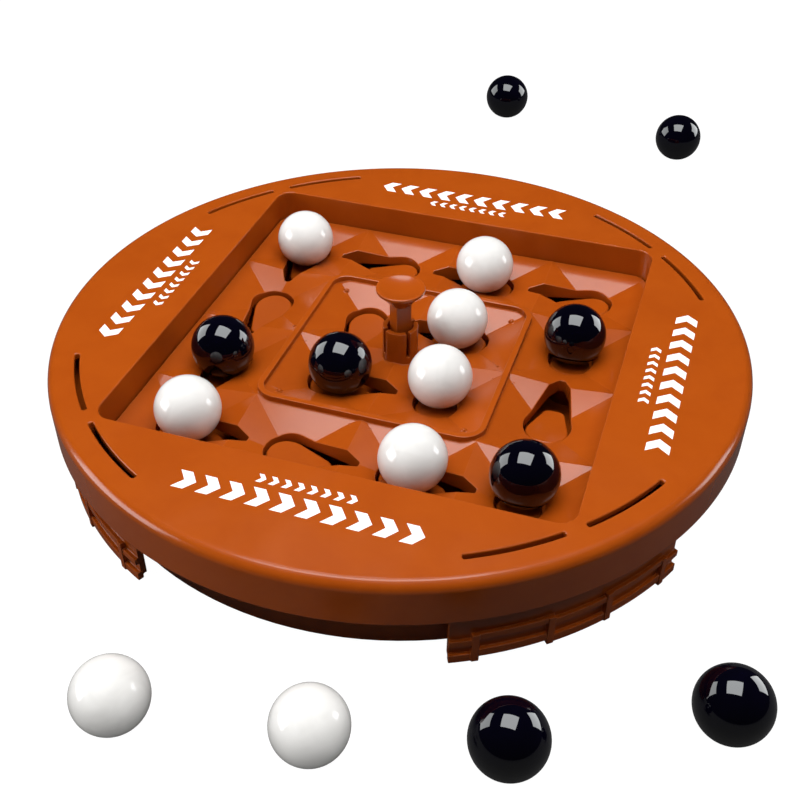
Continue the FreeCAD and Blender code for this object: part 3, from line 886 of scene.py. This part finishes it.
@dataclass
class Cover(Moulding):
    """Disc, skirt and well in one moulding, with the arc slots and the screw bosses under it.

    Attributes:
        wall: the thickness of the disc and the skirt.
        round_over: the radius between disc and skirt.
        skirt: how far the skirt hangs down.
        well_gap: the gap between the tray and the well's sides.
        well_corner: the radius of the well's corners.
        well_wall: the thickness of the well's sides.
        well_reach: how far they hang down.
        slot_line: the radius of the arc slots' middle line.
        slot_wide: their width.
        slot_from: where a slot starts, in degrees from a diagonal.
        slot_to: where it ends.
        boss: the bosses' radius.
        pilot: the radius of their bores.
        open_middle: the disc's first opening, as a share of the tray, before the well is cut.
    """

    wall: float = 2.2 * MM
    round_over: float = 3.0 * MM
    skirt: float = 14.3 * MM
    well_gap: float = 0.4 * MM
    well_corner: float = 5.2 * MM
    well_wall: float = 1.6 * MM
    well_reach: float = 17.9 * MM
    slot_line: float = 100.24 * MM
    slot_wide: float = 1.5 * MM
    slot_from: float = 1.9
    slot_to: float = 17.9
    boss: float = 4.0 * MM
    pilot: float = 1.3 * MM
    open_middle: float = 0.9

    def disc(self) -> Piece:
        """The disc and its skirt, open in the middle.

        Returns:
            The disc.
        """
        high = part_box(self.node)[1]
        radius, top = high.x, high.z
        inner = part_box("track_tray")[1].x * self.open_middle
        edge = self.round_over
        outline = [(inner, top)] + arc((radius - edge, top - edge), edge, 90, 0, 10)
        outline += [(radius, top - self.skirt), (radius - self.wall, top - self.skirt),
                    (radius - self.wall, top - self.wall), (inner, top - self.wall), (inner, top)]
        return turned(self.name, outline, 240)

    def slots(self, top: float) -> list[Piece]:
        """Cutters for the eight arc slots.

        Args:
            top: the disc's height.

        Returns:
            The cutters.
        """
        line, half = self.slot_line, self.slot_wide / 2
        cutters = []
        for diagonal in (45, 135, 225, 315):
            for start, end in ((self.slot_from, self.slot_to), (-self.slot_to, -self.slot_from)):
                cutters.append(curved_bar(line - half, line + half, top - 2 * self.wall,
                                          top + self.wall, diagonal + start, diagonal + end))
        return cutters

    def shape(self) -> Piece:
        """Model the cover.

        Returns:
            The finished mesh's object.
        """
        low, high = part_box(self.node)
        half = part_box("track_tray")[1].x + self.well_gap
        cover = self.disc()
        inside = high.z - self.wall / 2
        walls = rounded_square(half + self.well_wall, self.well_corner + self.well_wall,
                               high.z - self.well_reach, inside)
        screws = loose_boxes("cover_screws")
        spots = [(first + second) / 2 for first, second in screws]
        bosses = [upright_rod(self.boss, low.z, inside, spot) for spot in spots]
        combine(cover, join([walls] + bosses, "added"), "UNION")
        well = rounded_square(half, self.well_corner, low.z - self.wall, high.z + self.wall)
        bores = [upright_rod(self.pilot, low.z - self.wall, screws[0][1].z + MM, spot)
                 for spot in spots]
        combine(cover, join([well] + self.slots(high.z) + bores, "removed"), "DIFFERENCE")
        soften(cover, self.round_by, self.sharper_than, steps=3)
        return cover


@dataclass(frozen=True)
class ArrowRow:
    """A row of arrowheads along the near side of the disc.

    Attributes:
        near: where it starts, from the middle.
        far: where it ends.
        wide: its length.
        count: how many arrowheads it has.
        stroke: how thick their strokes are.
    """

    near: float
    far: float
    wide: float
    count: int
    stroke: float

    def heads(self, ink: float) -> list[Piece]:
        """The arrowheads, pointing along +X.

        Args:
            ink: the ink's thickness.

        Returns:
            The arrowheads.
        """
        tall = self.far - self.near
        lead = tall / 2 * 0.75
        bpy.ops.mesh.primitive_plane_add(size=1)
        head = bpy.context.object
        head.scale = (self.stroke, tall, 1)
        bpy.ops.object.transform_apply(scale=True)
        edit(head, everything=True)
        bpy.ops.mesh.bisect(plane_co=(0, 0, 0), plane_no=(0, 1, 0))
        choose(head, "VERT", lambda spot: abs(spot.y) < tall / 100)
        bpy.ops.transform.translate(value=(lead, 0, 0))
        bpy.ops.mesh.select_all(action="SELECT")
        bpy.ops.mesh.extrude_region_move(TRANSFORM_OT_translate={"value": (0, 0, ink)})
        finish_mesh(head)
        gap = (self.wide - self.stroke - lead) / (self.count - 1)
        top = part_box("top_cover")[1].z
        start = Vector((-(self.wide - self.stroke) / 2, -(self.near + self.far) / 2, top - ink / 4))
        heads = [copy_of(head, Matrix.Translation(start + Vector((gap * index, 0, 0))))
                 for index in range(self.count)]
        bpy.data.objects.remove(head)
        return heads


@dataclass
class RollMarks:
    """White marks printed round the disc that show which way the marbles roll.

    Attributes:
        large: the row beside the rim.
        small: the row beside the well.
        ink: the ink's thickness.
    """

    large: ArrowRow = ArrowRow(82.6 * MM, 89.3 * MM, 70.0 * MM, 10, 3.5 * MM)
    small: ArrowRow = ArrowRow(77.4 * MM, 80.5 * MM, 28.7 * MM, 8, 1.5 * MM)
    ink: float = 0.04 * MM

    def build(self) -> None:
        """Print both rows on the four sides."""
        side = join(self.large.heads(self.ink) + self.small.heads(self.ink), "roll_marks")
        turns = [copy_of(side, Matrix.Rotation(radians(90 * turn), 4, "Z"))
                 for turn in (1, 2, 3)]
        marks = join([side] + turns, "roll_marks")
        hand_over(marks, INK, BODY_OF["top_cover"])


@dataclass
class Marble:
    """A marble with the faint seam of its mould.

    Attributes:
        node: the CAD node that it stands for.
        turn: how the marble happens to lie.
        seam: how far the seam stands out.
        seam_wide: how wide it is to each side.
    """

    node: str
    turn: Quaternion
    seam: float = 0.004 * MM
    seam_wide: float = 0.12 * MM

    def build(self, material: bpy.types.Material, slot: Slot) -> Piece:
        """Make the marble and tie it to the frame.

        Args:
            material: its material.
            slot: the record's slot for it; not used.

        Returns:
            The marble.
        """
        low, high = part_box(self.node)
        radius = (high.z - low.z) / 2
        bpy.ops.mesh.primitive_uv_sphere_add(segments=72, ring_count=36, radius=radius)
        ball = bpy.context.object
        ball.name = self.node.replace("marble", "ball")
        edit(ball)
        choose(ball, "EDGE", lambda middle: abs(middle.z) < radius / 1000)
        bpy.ops.mesh.bevel(offset=self.seam_wide, segments=2)
        choose(ball, "VERT", lambda spot: abs(spot.z) < radius / 1000)
        grown = 1 + self.seam / radius
        bpy.ops.transform.resize(value=(grown, grown, 1))
        bpy.ops.object.mode_set(mode="OBJECT")
        bpy.ops.object.shade_smooth()
        weigh(ball)
        ball.data.transform(Matrix.Translation((low + high) / 2) @ self.turn.to_matrix().to_4x4())
        hand_over(ball, material, BODY_OF[self.node], (self.node,))
        return ball


@dataclass
class ScrewSet:
    """Pan-head screws with a cross recess and a rolled thread.

    Attributes:
        node: the CAD node that the screws stand for.
        name: the piece's name.
        heads_up: whether their heads look up.
        head_tall: how tall their heads are.
        shank: their shanks' radius.
        pitch: one thread to the next.
        turn_each: how far each screw is turned on from the one before, in radians.
    """

    node: str
    name: str
    heads_up: bool = False
    head_tall: float = 1.4 * MM
    shank: float = 1.3 * MM
    pitch: float = 0.9 * MM
    turn_each: float = 2.4

    def screw(self, head: float, tall: float, shank: float, length: float) -> Piece:
        """One screw about Z, its head's top at the origin and its shank below.

        Args:
            head: the head's radius.
            tall: the head's height.
            shank: the shank's radius.
            length: the whole length.

        Returns:
            The screw.
        """
        edge = tall * 0.4
        outline = [(0, 0), (head * 0.55, -tall * 0.04)]
        outline += arc((head - edge, -edge - tall * 0.06), edge, 80, 0, 5)
        outline += [(head, -tall * 0.9), (head - tall * 0.1, -tall), (shank * 1.05, -tall)]
        depth = -tall - self.pitch / 2
        while depth - self.pitch > -length + shank:
            outline += [(shank * 0.78, depth), (shank, depth - self.pitch * 0.45),
                        (shank, depth - self.pitch * 0.55)]
            depth -= self.pitch
        outline += [(shank * 0.78, depth), (shank * 0.7, -length + shank * 0.4), (0, -length)]
        screw = turned("screw", outline, 32)
        combine(screw, self.driver(head * 0.62, head * 0.2, tall * 0.7), "DIFFERENCE")
        pick(screw)
        bpy.ops.object.shade_smooth_by_angle(angle=radians(35))
        return screw

    def driver(self, reach: float, thick: float, depth: float) -> Piece:
        """A cross that tapers downwards, to cut a recess with.

        Args:
            reach: how far its arms go.
            thick: how thick they are.
            depth: how deep the cross goes.

        Returns:
            The cross.
        """
        arms = []
        for size in ((2 * reach, thick), (thick, 2 * reach)):
            bpy.ops.mesh.primitive_cube_add(size=1)
            arm = bpy.context.object
            arm.scale = (*size, 2 * depth)
            bpy.ops.object.transform_apply(scale=True)
            edit(arm)
            choose(arm, "FACE", lambda middle, normal: normal.z < -0.9)
            bpy.ops.transform.resize(value=(0.45, 0.45, 1))
            bpy.ops.object.mode_set(mode="OBJECT")
            arms.append(arm)
        combine(arms[0], arms[1], "UNION")
        return arms[0]

    def build(self) -> None:
        """Make the screws and tie them to the frame as one piece."""
        places = loose_boxes(self.node)
        low, high = places[0]
        screw = self.screw((high.x - low.x) / 2, self.head_tall, self.shank, high.z - low.z)
        if not self.heads_up:
            screw.data.transform(Matrix.Rotation(pi, 4, "X"))
        copies = []
        for low, high in places:
            top = high.z if self.heads_up else low.z
            middle = Vector(((low.x + high.x) / 2, (low.y + high.y) / 2, top))
            turn = Matrix.Rotation(self.turn_each * len(copies), 4, "Z")
            copies.append(copy_of(screw, Matrix.Translation(middle) @ turn))
        bpy.data.objects.remove(screw)
        piece = join(copies, self.name)
        hand_over(piece, SCREW_STEEL, BODY_OF[self.node], (self.node,))


# The studio

class FallsOn(Enum):
    """What a light falls on."""

    BOARD = "everything but the black marbles"
    BOARD_BUT_DRUM = "everything but the black marbles and the drum"
    BLACK_MARBLES = "the black marbles alone"
    LOOSE_WHITES = "the white marbles on the table alone"


GLINT_TINT = (0.96, 0.99, 1.0)


@dataclass
class Softbox:
    """A square or oblong light that looks at the board.

    Attributes:
        name: its name.
        azimuth: where it stands, in degrees from +X towards +Y.
        elevation: how high it stands, in degrees.
        distance: how far away.
        wide: its width.
        tall: its height.
        radiance: how bright its face is.
        falls_on: what it falls on.
        soft: whether it gives soft light.
        mirrored: whether it shows in reflections.
        level: whether it hangs level, face down.
    """

    name: str
    azimuth: float
    elevation: float
    distance: float
    wide: float
    tall: float
    radiance: float
    falls_on: FallsOn = FallsOn.BOARD
    soft: bool = True
    mirrored: bool = True
    level: bool = False

    def build(self, target: Vector, listed: dict[FallsOn, list[Piece]]) -> None:
        """Put the light up.

        Args:
            target: the point that it looks at.
            listed: the pieces that each kind of light leaves out or falls on alone.
        """
        lamp = bpy.data.lights.new(self.name, "AREA")
        lamp.shape = "RECTANGLE"
        lamp.size = self.wide
        lamp.size_y = self.tall
        lamp.energy = self.radiance * pi * self.wide * self.tall
        if self.falls_on is FallsOn.BLACK_MARBLES:
            lamp.color = GLINT_TINT
        light = bpy.data.objects.new(self.name, lamp)
        bpy.context.scene.collection.objects.link(light)
        turn, rise = radians(self.azimuth), radians(self.elevation)
        outwards = Vector((cos(turn) * cos(rise), sin(turn) * cos(rise),
                           sin(rise)))
        light.location = target + outwards * self.distance
        light.rotation_mode = "QUATERNION"
        if not self.level:
            light.rotation_quaternion = outwards.to_track_quat("Z", "Y")
        light.visible_diffuse = self.soft
        light.visible_glossy = self.mirrored
        linked = bpy.data.collections.new(self.name)
        for piece in listed[self.falls_on]:
            linked.objects.link(piece)
        light.light_linking.receiver_collection = linked
        left_out = self.falls_on in (FallsOn.BOARD, FallsOn.BOARD_BUT_DRUM)
        for entry in linked.collection_objects:
            entry.light_linking.link_state = "EXCLUDE" if left_out else "INCLUDE"


@dataclass
class Studio:
    """Floor, surroundings, lights and camera.

    Attributes:
        eye: the camera's place.
        look_at: the point that it looks at.
        roll: its tilt about its own axis, in degrees.
        lens: its focal length in millimetres.
        floor_half: half the floor's width.
        floor_bright: how bright the floor looks.
        ambient: how bright the surroundings are for soft light.
        mirrored: how bright they are in reflections, above the floor.
        mirrored_below: how bright they are in reflections, below it.
    """

    eye: tuple[float, float, float] = (0.0900, -0.2751, 0.2372)
    look_at: tuple[float, float, float] = (0.00926, -0.02838, 0.0268)
    roll: float = 0.2726
    lens: float = 50.12
    floor_half: float = 3.0
    floor_bright: float = 1.0
    ambient: float = 0.02
    mirrored: float = 0.012
    mirrored_below: float = 0.04

    def camera(self) -> None:
        """Set the camera up."""
        data = bpy.data.cameras.new("camera")
        data.lens = self.lens
        data.sensor_width = 36.0
        data.clip_start = 0.01
        camera = bpy.data.objects.new("camera", data)
        bpy.context.scene.collection.objects.link(camera)
        camera.location = self.eye
        camera.rotation_mode = "QUATERNION"
        aim = (Vector(self.look_at) - Vector(self.eye)).to_track_quat("-Z", "Y")
        camera.rotation_quaternion = aim @ Quaternion((0, 0, 1), radians(self.roll))
        bpy.context.scene.camera = camera

    def floor(self) -> None:
        """Lay a white floor that throws a little light back."""
        bpy.ops.mesh.primitive_plane_add(size=2 * self.floor_half)
        floor = bpy.context.object
        floor.name = "floor"
        dressing = Dressing("floor_white")
        place = dressing.add("TexCoord").outputs["Object"]
        cloud = dressing.add("TexNoise", {"Vector": place, "Scale": 3.0})
        tone = dressing.blend((0.060, 0.060, 0.060, 1), (0.064, 0.064, 0.064, 1),
                              cloud.outputs["Fac"])
        dressing.feed("Base Color", tone)
        seen = dressing.add("LightPath").outputs["Is Camera Ray"]
        dressing.feed("Emission Strength", dressing.spread(seen, 0.02, self.floor_bright))
        dressing.fix(Roughness=1.0, Specular_IOR_Level=0.0, Emission_Color=(1, 1, 1, 1))
        floor.data.materials.append(dressing.material)

    def surroundings(self) -> None:
        """Fill the room with soft light: white behind the board, dim in reflections."""
        world = bpy.data.worlds.new("room")
        world.use_nodes = True
        nodes = Nodes(world.node_tree)
        ray = nodes.add("LightPath").outputs
        seen = nodes.spread(ray["Is Camera Ray"], self.ambient, 1.05)
        heading = nodes.add("TexCoord").outputs["Generated"]
        height = nodes.add("SeparateXYZ", {"Vector": heading}).outputs["Z"]
        glossy = nodes.spread(height, self.mirrored_below, self.mirrored, -0.2, 0.0)
        level = nodes.add("Mix", {0: ray["Is Glossy Ray"], 2: seen, 3: glossy})
        background = nodes.tree.nodes["Background"]
        nodes.tree.links.new(level.outputs[0], background.inputs["Strength"])
        background.inputs["Color"].default_value = (1, 1, 1, 1)
        bpy.context.scene.world = world

    def lights(self, whites: list[Piece], blacks: list[Piece]) -> None:
        """Put up the softboxes.

        Args:
            whites: the white marbles on the table.
            blacks: the black marbles.
        """
        for ball in whites:
            ball.visible_glossy = False
        middle = Vector((0, 0, 0.03))
        rim, glint, loose = FallsOn.BOARD_BUT_DRUM, FallsOn.BLACK_MARBLES, FallsOn.LOOSE_WHITES
        listed = {FallsOn.BOARD: blacks, rim: blacks + [bpy.data.objects["tub_shell"]],
                  glint: blacks, loose: whites}
        for box in (Softbox("overhead", 90.0, 90.0, 0.62, 0.70, 0.70, 5.2, mirrored=False),
                    Softbox("sheen", 115.2, 72.1, 1.261, 0.63, 0.56, 5.6, soft=False, level=True),
                    Softbox("left", 205.0, 16.0, 1.0, 0.62, 0.50, 5.7, rim),
                    Softbox("right", 25.0, 15.0, 1.0, 0.30, 0.35, 5.4, rim),
                    Softbox("front", 288.0, 12.0, 1.2, 1.20, 0.80, 1.5, loose, mirrored=False),
                    Softbox("overhead_glint", 90.0, 88.5, 0.60, 0.46, 0.46, 6.2, glint),
                    Softbox("left_glint", 172.0, 21.0, 1.0, 0.66, 0.56, 4.2, glint),
                    Softbox("right_glint", 41.0, 16.0, 1.0, 0.60, 0.48, 5.6, glint)):
            box.build(middle, listed)

    def build(self) -> None:
        """Set up everything but the lights."""
        bpy.context.scene.view_settings.view_transform = "Standard"
        self.camera()
        self.floor()
        self.surroundings()


def dress_leg_screws() -> None:
    """Give the leg screws of the CAD model their steel."""
    node = frame["nodes"]["leg_screws"]
    node.data.materials.clear()
    node.data.materials.append(SCREW_STEEL)


def main() -> None:
    """Build the board's pieces in order, then the studio."""
    logging.basicConfig(level=logging.INFO, format="%(message)s")
    studio = Studio()
    studio.build()
    Cover("top_cover", "cover_shell", 0.42 * MM, sharper_than=30.0).build()
    Moulding("base_shell", "tub_shell", 0.25 * MM).build()
    Tray("track_tray", "track_shell", 0.28 * MM, sharper_than=50.0).build()
    Moulding("press_knob", "knob_shell", 0.3 * MM, sharper_than=40.0).build()
    Moulding("lifter_plate", "pad_plate", 0.15 * MM).build()
    for index in range(1, 5):
        Moulding(f"corner_leg_{index}", f"leg_shell_{index}", 0.25 * MM).build()
    RollMarks().build()
    lies = [Quaternion((1, 0, 0), 0.9 * index) @ Quaternion((0, 0, 1), 2.4 * index)
            for index in range(1, 9)]
    whites = [Marble(f"white_marble_{index}", lie).build(WHITE, Slot.WHITE)
              for index, lie in enumerate(lies, 1)]
    blacks = [Marble(f"black_marble_{index}", lie).build(BLACK, Slot.BLACK)
              for index, lie in enumerate(lies, 1)]
    studio.lights(whites[6:], blacks)
    ScrewSet("cover_screws", "cover_screw_set").build()
    ScrewSet("stop_screws", "stop_screw_set", head_tall=1.2 * MM).build()
    ScrewSet("plate_screws", "plate_screw_set", heads_up=True).build()
    ScrewSet("knob_screw", "knob_screw_shell").build()
    for index in range(1, 5):
        CoilSpring(index).build()
    dress_leg_screws()


if __name__ == "__main__":
    main()
